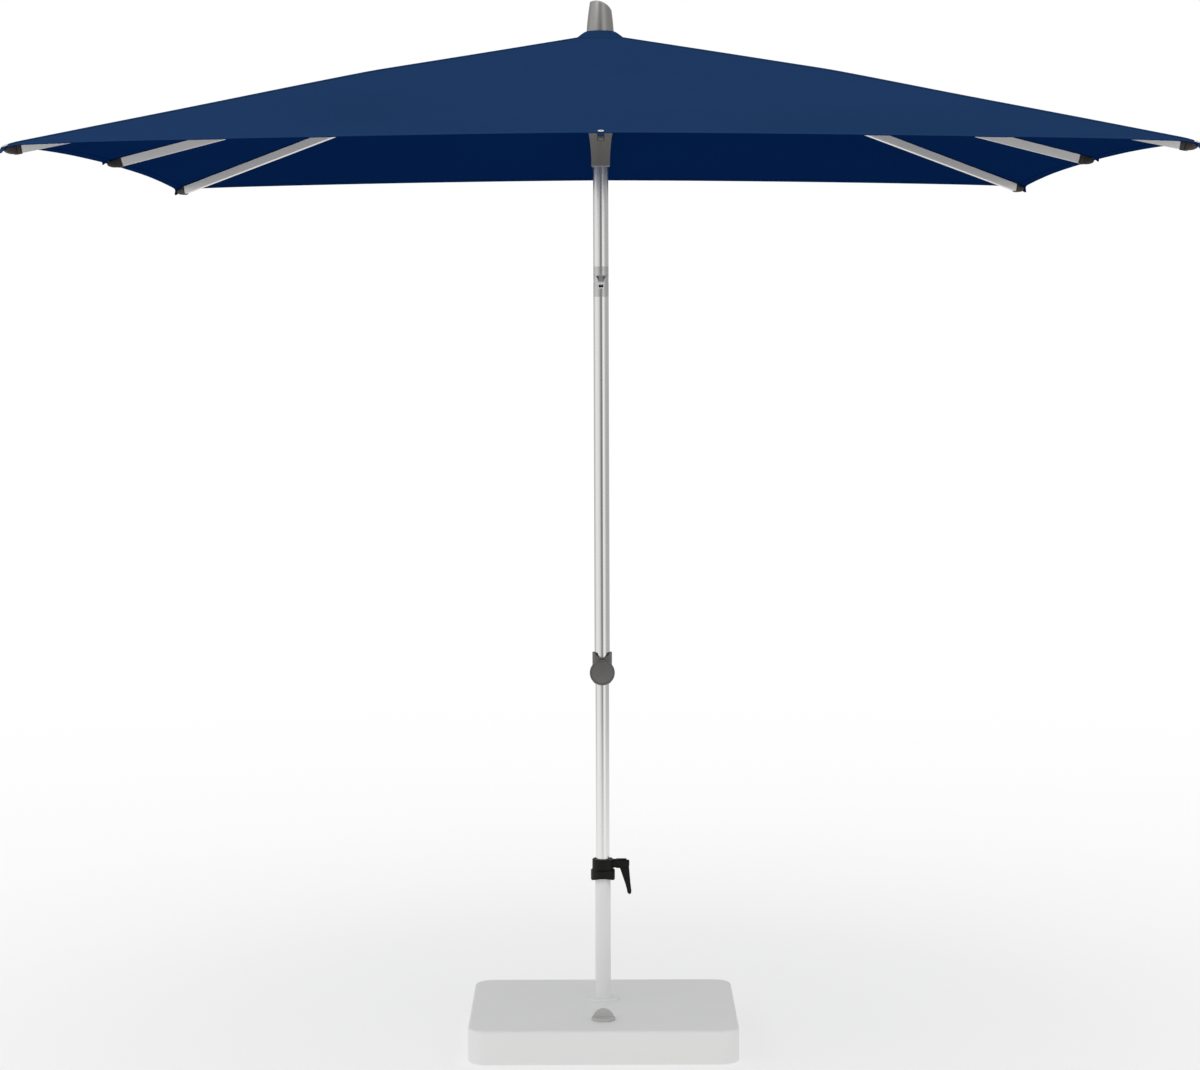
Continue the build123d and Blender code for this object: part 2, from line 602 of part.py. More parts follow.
def clamp_lever():
    """The hub on the screw and the tapered handle that hangs from it."""
    low, high = LEVER_HUB_X
    hub = bar_x(LEVER_HUB_R, low, high, 0, LEVER_Z)
    tip_z = LEVER_Z - LEVER_REACH + 5
    edges = [
        Line((low + 1, 0, LEVER_Z), (high - 1, 0, LEVER_Z)),
        Spline((high - 1, 0, LEVER_Z), (high + 1.5, 0, LEVER_Z - 34), (high + 2, 0, tip_z)),
        ThreePointArc((high + 2, 0, tip_z), (high - 3.5, 0, tip_z - 5), (high - 9, 0, tip_z)),
        Spline((high - 9, 0, tip_z), (low + 5, 0, LEVER_Z - 34), (low + 1, 0, LEVER_Z)),
    ]
    arm = side_plate(edges, -7.0, 7.0)
    nub = bar_x(5.0, low + 2, high - 4, 0, LEVER_Z + 11)
    return hub + arm + nub - bar_x(SCREW_R + 0.02, low - 1, low + 12, 0, LEVER_Z)


def clamp_screw():
    """The threaded bar of the lever, stopping just short of the lower pole."""
    return bar_x(SCREW_R, LOWER_R + 0.4, LEVER_HUB_X[0] + 11, 0, LEVER_Z)


def lower_pole():
    """The narrow tube that stands in the stem and slides in the upper pole."""
    return pipe(LOWER_R, LOWER_R - LOWER_WALL, *LOWER_POLE_Z)


os.makedirs("parts", exist_ok=True)

save(base_shell(), "base_shell")
save(slab(SLAB_WALL + 0.5, SLAB_BOTTOM + SLAB_WALL, SLAB_BOTTOM + SLAB_WALL + BALLAST_H), "base_ballast")
save(base_feet(), "base_feet")
save(filler_plug(), "filler_plug")
save(stem_flange(), "stem_flange")
save(pipe(STEM_R, STEM_BORE_R, SLAB_TOP, STEM_TOP), "stem_tube")
save(base_clamp(), "base_clamp")
save(clamp_lever(), "clamp_lever")
save(clamp_screw(), "clamp_screw")
save(lower_pole(), "lower_pole")
save(upper_pole(), "upper_pole")
save(telescope_collar(), "telescope_collar")
save(telescope_knob(), "telescope_knob")
save(knob_screw(), "knob_screw")
save(tilt_fork(), "tilt_fork")
save(tilt_tongue(), "tilt_tongue")
save(bar_x(TILT_PIN_R, -UPPER_R + 1, UPPER_R - 1, 0, TILT_Z), "tilt_pin")
save(pipe(UPPER_R, UPPER_BORE_R, *MAST_Z), "mast_tube")
save(crown(), "crown")
save(join(ring_of(bar_y(PIN_R, -10, 10, PIVOT_R, CROWN_PIVOT_Z))), "crown_pins")
save(canopy_cap(), "canopy_cap")
save(finial(), "finial")
save(runner(), "runner")
save(join(ring_of(riveted(PIVOT_R, RUNNER_PIVOT_Z, STRUT_OUT + 0.3))), "runner_pins")

for family, is_corner in ((MIDDLE, False), (CORNER, True)):
    tube, end, cloth = rib_tube(is_corner), rib_end(is_corner), gore(is_corner)
    for place, angle in family.items():
        spin = Rot(0, 0, angle)
        save(spin * tube, f"rib_{place}")
        save(spin * end, f"rib_end_{place}")
        save(spin * cloth, f"gore_{place}")
        save(spin * strut(), f"strut_{place}")
        if is_corner:
            save(spin * corner_bracket(), f"bracket_{place}")
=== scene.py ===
"""Dresses and lights a square garden umbrella: cloth, ribs, pole, clamps and weighted base."""

from __future__ import annotations

import logging
import math
from dataclasses import dataclass, field
from enum import Enum
from typing import Sequence

import bmesh
import bpy
from mathutils import Matrix, Vector, noise

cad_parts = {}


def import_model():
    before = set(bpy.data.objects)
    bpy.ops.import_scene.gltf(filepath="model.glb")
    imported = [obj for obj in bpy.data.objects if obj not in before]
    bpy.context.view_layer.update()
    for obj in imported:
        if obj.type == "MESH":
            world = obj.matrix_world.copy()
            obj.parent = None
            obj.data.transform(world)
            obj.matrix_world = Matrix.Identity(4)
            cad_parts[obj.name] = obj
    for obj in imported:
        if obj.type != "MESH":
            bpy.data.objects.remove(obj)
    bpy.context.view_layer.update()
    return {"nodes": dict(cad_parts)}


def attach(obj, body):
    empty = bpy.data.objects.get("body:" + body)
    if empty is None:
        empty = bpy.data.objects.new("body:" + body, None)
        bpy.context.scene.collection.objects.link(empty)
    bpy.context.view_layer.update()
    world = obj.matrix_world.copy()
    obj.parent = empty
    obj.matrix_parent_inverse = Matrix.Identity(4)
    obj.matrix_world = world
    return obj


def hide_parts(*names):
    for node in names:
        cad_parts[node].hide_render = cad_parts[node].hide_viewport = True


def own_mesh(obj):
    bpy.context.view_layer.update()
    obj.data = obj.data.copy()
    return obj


LOG = logging.getLogger("umbrella")
Colour = tuple[float, float, float, float]


class Heading(Enum):
    """Every rib's direction from the pole, in degrees anticlockwise from the right."""

    RIGHT = 0
    BACK_RIGHT = 45
    BACK = 90
    BACK_LEFT = 135
    LEFT = 180
    FRONT_LEFT = 225
    FRONT = 270
    FRONT_RIGHT = 315

    @property
    def place(self) -> str:
        """The heading's name as the nodes spell it."""
        return self.name.lower()

    @property
    def is_corner(self) -> bool:
        """True for the long ribs that reach the corners."""
        return self.value % 90 == 45

    @property
    def radians(self) -> float:
        """The heading in radians."""
        return math.radians(self.value)


# ---- finishes


class Graph:
    """A node tree being built, with short ways to add and join its nodes."""

    def __init__(self, tree: bpy.types.NodeTree) -> None:
        """Start with the tree that the nodes go into."""
        self.tree = tree

    def add(self, kind: str, **settings: object) -> bpy.types.Node:
        """Add a node.

        Args:
            kind: The node's type name, without the ShaderNode prefix.
            **settings: Attributes of the node.

        Returns:
            The new node.
        """
        node = self.tree.nodes.new("ShaderNode" + kind)
        for key, value in settings.items():
            setattr(node, key, value)
        return node

    def join(self, source: object, target: bpy.types.NodeSocket) -> None:
        """Link an output to an input, or set the input to a plain value.

        Args:
            source: A socket or a value.
            target: The input.
        """
        if isinstance(source, bpy.types.NodeSocket):
            self.tree.links.new(source, target)
        else:
            target.default_value = source

    def split(self, vector: bpy.types.NodeSocket) -> list[bpy.types.NodeSocket]:
        """The X, Y and Z of a vector.

        Args:
            vector: The vector.

        Returns:
            Its three parts.
        """
        node = self.add("SeparateXYZ")
        self.join(vector, node.inputs["Vector"])
        return list(node.outputs)

    def math(self, operation: str, *values: object) -> bpy.types.NodeSocket:
        """One step of arithmetic.

        Args:
            operation: The operation's name.
            *values: Sockets or numbers, in the operation's order.

        Returns:
            The result.
        """
        node = self.add("Math", operation=operation)
        for slot, value in zip(node.inputs, values):
            self.join(value, slot)
        return node.outputs["Value"]

    def fade(self, value: bpy.types.NodeSocket, low: float, high: float, start: float = 0.0,
             end: float = 1.0, curve: str = "LINEAR") -> bpy.types.NodeSocket:
        """Map a value from one range to another, clamped.

        Args:
            value: The value, expected between start and end.
            low: Result at start.
            high: Result at end.
            start: The value that gives low.
            end: The value that gives high.
            curve: The way between them.

        Returns:
            The mapped value.
        """
        node = self.add("MapRange", interpolation_type=curve)
        self.join(value, node.inputs["Value"])
        for key, number in (("From Min", start), ("From Max", end), ("To Min", low), ("To Max", high)):
            node.inputs[key].default_value = number
        return node.outputs["Result"]

    def blend(self, factor: bpy.types.NodeSocket, first: object, second: object) -> bpy.types.NodeSocket:
        """Mix two colours.

        Args:
            factor: Share of the second colour.
            first: A colour or a socket.
            second: A colour or a socket.

        Returns:
            The mixed colour.
        """
        node = self.add("Mix", data_type="RGBA")
        for slot, value in ((0, factor), (6, first), (7, second)):
            self.join(value, node.inputs[slot])
        return node.outputs[2]


class Recipe(Graph):
    """A material being built."""

    def __init__(self, name: str) -> None:
        """Start a material.

        Args:
            name: The material's name.
        """
        self.material = bpy.data.materials.new(name)
        self.material.use_nodes = True
        super().__init__(self.material.node_tree)
        self.shader = self.tree.nodes["Principled BSDF"]

    def plain(self, **values: object) -> None:
        """Set constants on the shader's own sockets, with underscores for spaces."""
        for key, value in values.items():
            self.shader.inputs[key.replace("_", " ")].default_value = value

    def position(self, stretch: Sequence[float] = (1, 1, 1), turn: float = 0.0) -> bpy.types.NodeSocket:
        """Object coordinates, stretched and turned about Z."""
        return self.mapped(self.add("TexCoord").outputs["Object"], stretch, turn)

    def mapped(self, vector: bpy.types.NodeSocket, stretch: Sequence[float],
               turn: float = 0.0) -> bpy.types.NodeSocket:
        """A vector, stretched and turned about Z.

        Args:
            vector: The vector.
            stretch: Scale along X, Y and Z.
            turn: Angle about Z in radians.

        Returns:
            The mapped vector.
        """
        mapping = self.add("Mapping")
        for key, value in (("Vector", vector), ("Scale", stretch), ("Rotation", (0.0, 0.0, turn))):
            self.join(value, mapping.inputs[key])
        return mapping.outputs["Vector"]

    def cloud(self, vector: bpy.types.NodeSocket, scale: float, detail: float = 3.0) -> bpy.types.NodeSocket:
        """Soft noise.

        Args:
            vector: Where the noise is read.
            scale: Features per metre.
            detail: Octaves.

        Returns:
            The noise, from 0 to 1.
        """
        cloud = self.add("TexNoise")
        for key, value in (("Vector", vector), ("Scale", scale), ("Detail", detail)):
            self.join(value, cloud.inputs[key])
        return cloud.outputs["Fac"]

    def relief(self, height: bpy.types.NodeSocket, depth: float) -> None:
        """Bump the surface.

        Args:
            height: Height from 0 to 1.
            depth: The height of 1, in metres.
        """
        bump = self.add("Bump")
        bump.inputs["Distance"].default_value = depth
        self.join(height, bump.inputs["Height"])
        self.join(bump.outputs["Normal"], self.shader.inputs["Normal"])

    def colour(self, source: bpy.types.NodeSocket) -> None:
        """Drive the base colour."""
        self.join(source, self.shader.inputs["Base Color"])

    def tint(self, source: bpy.types.NodeSocket, colour: Colour, low: float, high: float) -> None:
        """Drive the base colour between two shades of one colour.

        Args:
            source: Share of the second shade.
            colour: The colour.
            low: What it is multiplied by for the first shade.
            high: What it is multiplied by for the second shade.
        """
        self.colour(self.blend(source, shade(colour, low), shade(colour, high)))

    def roughness(self, source: bpy.types.NodeSocket, low: float, high: float) -> None:
        """Drive the roughness by the middle part of a noise.

        Args:
            source: The noise.
            low: Roughness where it is low.
            high: Roughness where it is high.
        """
        self.join(self.fade(source, low, high, 0.3, 0.7), self.shader.inputs["Roughness"])

    def mix(self, *parts: bpy.types.NodeSocket) -> bpy.types.NodeSocket:
        """Mix two shaders.

        Args:
            *parts: Share of the second shader, the first and the second.

        Returns:
            The mixed shader.
        """
        node = self.add("MixShader")
        for slot, part in zip(node.inputs, parts):
            self.join(part, slot)
        return node.outputs["Shader"]


def shade(colour: Colour, share: float) -> Colour:
    """A colour made lighter or darker.

    Args:
        colour: The colour to start from.
        share: What its channels are multiplied by.

    Returns:
        The new colour.
    """
    return (colour[0] * share, colour[1] * share, colour[2] * share, 1.0)


@dataclass(frozen=True)
class Moulded:
    """Moulded plastic with a fine spark-eroded grain."""

    name: str
    colour: Colour
    rough: float = 0.45
    grain: float = 1400.0
    depth: float = 0.00004
    drift: float = 0.06
    metal: float = 0.0
    specular: float = 0.5
    wander: float = 0.07

    def make(self) -> bpy.types.Material:
        """Build the material."""
        recipe = Recipe(self.name)
        recipe.plain(Metallic=self.metal, Specular_IOR_Level=self.specular)
        place = recipe.position()
        patches = recipe.cloud(place, 9.0, 4.0)
        recipe.tint(patches, self.colour, 1 - self.drift, 1 + self.drift)
        recipe.roughness(recipe.cloud(place, 60.0), self.rough - self.wander, self.rough + self.wander)
        recipe.relief(recipe.cloud(place, self.grain, 2.0), self.depth)
        return recipe.material


@dataclass(frozen=True)
class Drawn:
    """Anodised aluminium with faint die lines along its length."""

    name: str
    colour: Colour
    rough: float = 0.28
    turn: float = 0.0
    lines: tuple[float, float, float] = (1.0, 1.0, 0.004)
    pitch: float = 2600.0
    metal: float = 1.0

    def make(self) -> bpy.types.Material:
        """Build the material."""
        recipe = Recipe(self.name)
        recipe.plain(Metallic=self.metal)
        streaks = recipe.cloud(recipe.position(self.lines, self.turn), self.pitch, 2.0)
        patches = recipe.cloud(recipe.position(), 5.0, 3.0)
        recipe.tint(patches, self.colour, 0.97, 1.03)
        scuffs = recipe.math("MULTIPLY", patches, 0.4)
        worn = recipe.math("ADD", recipe.math("MULTIPLY", streaks, 0.6), scuffs)
        recipe.roughness(worn, self.rough - 0.05, self.rough + 0.07)
        recipe.relief(streaks, 0.000004)
        return recipe.material


@dataclass(frozen=True)
class PowderCoat:
    """Steel under a baked powder coat with a light orange-peel texture."""

    name: str
    colour: Colour
    rough: float = 0.38

    def make(self) -> bpy.types.Material:
        """Build the material."""
        recipe = Recipe(self.name)
        recipe.plain(Coat_Weight=0.15, Coat_Roughness=0.25)
        place = recipe.position()
        peel = recipe.cloud(place, 420.0, 2.0)
        recipe.tint(recipe.cloud(place, 8.0), self.colour, 0.98, 1.0)
        recipe.roughness(peel, self.rough - 0.05, self.rough + 0.06)
        recipe.relief(peel, 0.00005)
        return recipe.material


@dataclass(frozen=True)
class TurnedSteel:
    """Zinc-plated pins, screws and folded plates."""

    name: str
    colour: Colour = (0.56, 0.56, 0.57, 1.0)
    rough: float = 0.33

    def make(self) -> bpy.types.Material:
        """Build the material."""
        recipe = Recipe(self.name)
        recipe.plain(Metallic=1.0)
        place = recipe.position()
        spangle = recipe.cloud(place, 240.0, 4.0)
        recipe.tint(spangle, self.colour, 0.9, 1.06)
        recipe.roughness(spangle, self.rough - 0.08, self.rough + 0.1)
        recipe.relief(recipe.cloud(place, 1900.0, 2.0), 0.00001)
        return recipe.material


@dataclass(frozen=True)
class Woven:
    """Solution-dyed acrylic canvas: a plain weave of spun threads, with sewn rows."""

    name: str
    colour: Colour
    fuzz: Colour = (0.10, 0.30, 0.85, 1.0)
    thread: float = 0.0011
    depth: float = 0.00016
    seam_row: float = 0.0048
    hem_row: float = 0.0165
    stitch: float = 0.0032

    def make(self) -> bpy.types.Material:
        """Build the material. It reads the maps Weave and Sewing, both in metres."""
        recipe = Recipe(self.name)
        recipe.plain(Sheen_Weight=0.03, Sheen_Roughness=0.4, Sheen_Tint=self.fuzz, Specular_IOR_Level=0.0)
        weave = recipe.add("UVMap", uv_map="Weave").outputs["UV"]
        across, along, _ = recipe.split(weave)
        turn = 2 * math.pi / self.thread
        warp = recipe.math("SINE", recipe.math("MULTIPLY", across, turn))
        weft = recipe.math("SINE", recipe.math("MULTIPLY", along, turn))
        over = recipe.math("MULTIPLY", warp, weft)
        cloth = recipe.fade(over, 0.0, 1.0, -1.0, 1.0)
        slubs = self.slubs(recipe, weave)
        stitches = self.stitches(recipe)
        fading = recipe.cloud(recipe.position(), 1.6, 3.0)
        tone = recipe.math("ADD", recipe.math("MULTIPLY", slubs, 0.55), recipe.math("MULTIPLY", fading, 0.45))
        spread = recipe.fade(tone, 0.0, 1.0, 0.3, 0.7)
        body = recipe.blend(spread, shade(self.colour, 0.88), shade(self.colour, 1.12))
        # The hollows between the threads are darkened to 0.55 of the colour: painted shade in the weave.
        gap_painted_shade = recipe.blend(recipe.fade(over, 0.35, 0.0, -1.0, 0.0), body, shade(self.colour, 0.55))
        recipe.colour(recipe.blend(stitches, gap_painted_shade, shade(self.colour, 1.9)))
        recipe.roughness(slubs, 0.78, 0.92)
        height = recipe.math("ADD", cloth, recipe.math("MULTIPLY", slubs, 0.8))
        recipe.relief(recipe.math("ADD", height, recipe.math("MULTIPLY", stitches, 1.6)), self.depth)
        return recipe.material

    def slubs(self, recipe: Recipe, weave: bpy.types.NodeSocket) -> bpy.types.NodeSocket:
        """Uneven threads, long in one direction and thin in the other.

        Args:
            recipe: The material being built.
            weave: The cloth's own map.

        Returns:
            The unevenness, from 0 to 1.
        """
        parts = []
        for stretch in ((1.0, 0.03, 1.0), (0.03, 1.0, 1.0)):
            parts.append(recipe.cloud(recipe.mapped(weave, stretch), 700.0, 2.0))
        return recipe.math("MULTIPLY", recipe.math("ADD", *parts), 0.5)

    def stitches(self, recipe: Recipe) -> bpy.types.NodeSocket:
        """Rows of lock stitch beside the ridge seam and along the hem.

        Args:
            recipe: The material being built.

        Returns:
            1 on a stitch and 0 elsewhere.
        """
        across, along, _ = recipe.split(recipe.add("UVMap", uv_map="Sewing").outputs["UV"])
        rows = []
        for distance, row, run in ((across, self.seam_row, along), (along, self.hem_row, across)):
            off = recipe.math("ABSOLUTE", recipe.math("SUBTRACT", recipe.math("ABSOLUTE", distance), row))
            line = recipe.math("LESS_THAN", off, 0.0005)
            step = recipe.math("FRACT", recipe.math("DIVIDE", run, self.stitch))
            rows.append(recipe.math("MULTIPLY", line, recipe.math("LESS_THAN", step, 0.72)))
        return recipe.math("MAXIMUM", *rows)


WHITE: Colour = (1.0, 1.0, 1.0, 1.0)
RIB_METAL: Colour = (0.84, 0.82, 0.79, 1.0)
NAVY: Colour = (0.0136, 0.0400, 0.1150, 1.0)
# The back's navy is the face's navy made darker: painted shade for the canopy's underside.
NAVY_BACK_PAINTED_SHADE: Colour = (0.0006, 0.0115, 0.0610, 1.0)


@dataclass
class Finishes:
    """Every finish of the umbrella, made once."""

    made: dict[str, bpy.types.Material] = field(default_factory=dict)

    def get(self, finish: object) -> bpy.types.Material:
        """The material of a finish, built on its first use."""
        if finish.name not in self.made:
            self.made[finish.name] = finish.make()
        return self.made[finish.name]


CLOTH_TOP = Woven("canvas_face", NAVY)
# The canvas's back is a darker copy of its face: painted shade on the underside.
CLOTH_BACK_PAINTED_SHADE = Woven("canvas_back_painted_shade", NAVY_BACK_PAINTED_SHADE)
POLE = Drawn("pole_anodised", (0.86, 0.855, 0.85, 1.0), 0.15)
TILT_ALLOY = Drawn("tilt_cast_alloy", (0.66, 0.66, 0.65, 1.0), 0.30, lines=(1.0, 1.0, 0.02), pitch=1500.0)
FITTING = Moulded("fitting_dark_grey", (0.135, 0.130, 0.123, 1.0), 0.42)
RIB_END = Moulded("rib_end_brown_black", (0.034, 0.027, 0.022, 1.0), 0.40)
RUNNER = Moulded("runner_dark_grey", (0.158, 0.152, 0.144, 1.0), 0.42)
FINIAL = Moulded("finial_grey", (0.355, 0.350, 0.338, 1.0), 0.30, depth=0.000006, metal=0.75, wander=0.02)
BASE = Moulded("base_white", (0.84, 0.84, 0.83, 1.0), 0.5, drift=0.015)
PLUG = Moulded("plug_grey", (0.52, 0.52, 0.51, 1.0), 0.5, drift=0.03)
CLAMP = Moulded("clamp_black", (0.004, 0.004, 0.003, 1.0), 0.5, specular=0.22)
RUBBER = Moulded("foot_rubber", (0.02, 0.02, 0.02, 1.0), 0.8)
FILLING = Moulded("filling_sand", (0.42, 0.38, 0.32, 1.0), 0.9, 600.0, 0.0004)
STEM = PowderCoat("stem_white", (0.86, 0.86, 0.86, 1.0))
STEEL = TurnedSteel("zinc_plate")
EYELET = TurnedSteel("eyelet_nickel", (0.86, 0.85, 0.83, 1.0), 0.22)


def rib_finish(heading: Heading) -> Drawn:
    """The rib aluminium with its die lines along one rib's heading."""
    turn = heading.value % 180
    return Drawn(f"rib_anodised_{turn}", RIB_METAL, 0.36, -math.radians(turn), (0.01, 1.0, 1.0), metal=0.2)


# ---- mesh helpers


def finished(name: str, shape: bmesh.types.BMesh, materials: Sequence[bpy.types.Material],
             smooth: bool = True) -> bpy.types.Object:
    """Turn a bmesh into an object at the origin.

    Args:
        name: The object's name.
        shape: The bmesh, which is freed.
        materials: Its materials, in slot order.
        smooth: Whether its faces are shaded smooth.

    Returns:
        The new object.
    """
    for face in shape.faces:
        face.smooth = smooth
    mesh = bpy.data.meshes.new(name)
    shape.to_mesh(mesh)
    shape.free()
    piece = bpy.data.objects.new(name, mesh)
    bpy.context.scene.collection.objects.link(piece)
    for material in materials:
        mesh.materials.append(material)
    return piece


def blank() -> tuple[bmesh.types.BMesh, bmesh.types.BMLayerItem, bmesh.types.BMLayerItem]:
    """An empty mesh with the two maps that the cloth is drawn by."""
    shape = bmesh.new()
    weave = shape.loops.layers.uv.new("Weave")
    return shape, weave, shape.loops.layers.uv.new("Sewing")


def slab(shape: bmesh.types.BMesh, corners: Sequence[tuple[float, float]], half: float, rounding: float,
         segments: int = 3) -> None:
    """Extrude a side view across Y and round its edges.

    Args:
        shape: The mesh to add to.
        corners: The side view, as X and Z.
        half: Half the width.
        rounding: The radius of its edges.
        segments: Steps in the rounding.
    """
    first = [shape.verts.new((x, -half, z)) for x, z in corners]
    grown = bmesh.ops.extrude_face_region(shape, geom=[shape.faces.new(first)], use_keep_orig=True)["geom"]
    second = [item for item in grown if isinstance(item, bmesh.types.BMVert)]
    bmesh.ops.translate(shape, verts=second, vec=(0, 2 * half, 0))
    rim = {edge for vert in first + second for edge in vert.link_edges}
    across = [edge for edge in rim if abs((edge.verts[0].co - edge.verts[1].co).y) < 1e-6]
    bmesh.ops.bevel(shape, geom=across, offset=rounding, affect="EDGES", segments=segments, profile=0.5,
                    material=-1)


def face_up(shape: bmesh.types.BMesh) -> None:
    """Turn an open sheet so that its outer face looks up."""
    shape.normal_update()
    if sum(face.normal.z for face in shape.faces) < 0:
        bmesh.ops.reverse_faces(shape, faces=shape.faces)


def thicken(piece: bpy.types.Object, thickness: float, lining: int = 1) -> None:
    """Give a sheet its thickness, inwards from its outer face.

    Args:
        piece: The sheet.
        thickness: The thickness.
        lining: How many material slots further its inner face takes its finish from.
    """
    thick = piece.modifiers.new("thickness", "SOLIDIFY")
    thick.thickness = thickness
    thick.offset = -1.0
    thick.material_offset = lining


def soften(piece: bpy.types.Object, angle: float = 35.0) -> None:
    """Shade a piece smooth, but keep edges sharper than an angle crisp.

    Args:
        piece: The piece.
        angle: The angle in degrees.
    """
    shape = bmesh.new()
    shape.from_mesh(piece.data)
    for edge in shape.edges:
        if len(edge.link_faces) == 2:
            edge.smooth = edge.calc_face_angle() < math.radians(angle)
    shape.to_mesh(piece.data)
    shape.free()


def lathe(shape: bmesh.types.BMesh, profile: Sequence[Sequence[float]], axis: Sequence[float],
          steps: int) -> None:
    """Spin an open profile once round an axis through the origin.

    Args:
        shape: The mesh to add to.
        profile: The profile's points.
        axis: The axis.
        steps: Steps round it.
    """
    points = [shape.verts.new(point) for point in profile]
    edges = [shape.edges.new(pair) for pair in zip(points, points[1:])]
    bmesh.ops.spin(shape, geom=points + edges, cent=(0, 0, 0), axis=axis, angle=2 * math.pi, steps=steps,
                   use_merge=True)
    bmesh.ops.remove_doubles(shape, verts=shape.verts, dist=1e-6)


def ring(major: float, minor: float, flatten: float, place: Matrix, steps: int = 40) -> bmesh.types.BMesh:
    """A rolled metal ring.

    Args:
        major: Radius of the ring's centre line.
        minor: Half its width.
        flatten: Its height as a share of its width.
        place: Where it goes.
        steps: Steps round the ring.

    Returns:
        The closed mesh.
    """
    shape = bmesh.new()
    upright = Matrix.Translation((major, 0, 0)) @ Matrix.Rotation(math.pi / 2, 4, "X")
    section = bmesh.ops.create_circle(shape, segments=12, radius=minor, matrix=upright)
    rim = list({edge for vert in section["verts"] for edge in vert.link_edges})
    bmesh.ops.spin(shape, geom=section["verts"] + rim, cent=(0, 0, 0), axis=(0, 0, 1), angle=2 * math.pi,
                   steps=steps, use_merge=True)
    bmesh.ops.remove_doubles(shape, verts=shape.verts, dist=1e-6)
    bmesh.ops.scale(shape, vec=(1, 1, flatten), verts=shape.verts)
    bmesh.ops.recalc_face_normals(shape, faces=shape.faces)
    bmesh.ops.transform(shape, matrix=place, verts=shape.verts)
    return shape


# ---- the cloth


@dataclass(frozen=True)
class Flap:
    """How far the hem hangs over the nose of one rib end."""

    half: float
    run: float
    out: float
    drop: float
    power: float


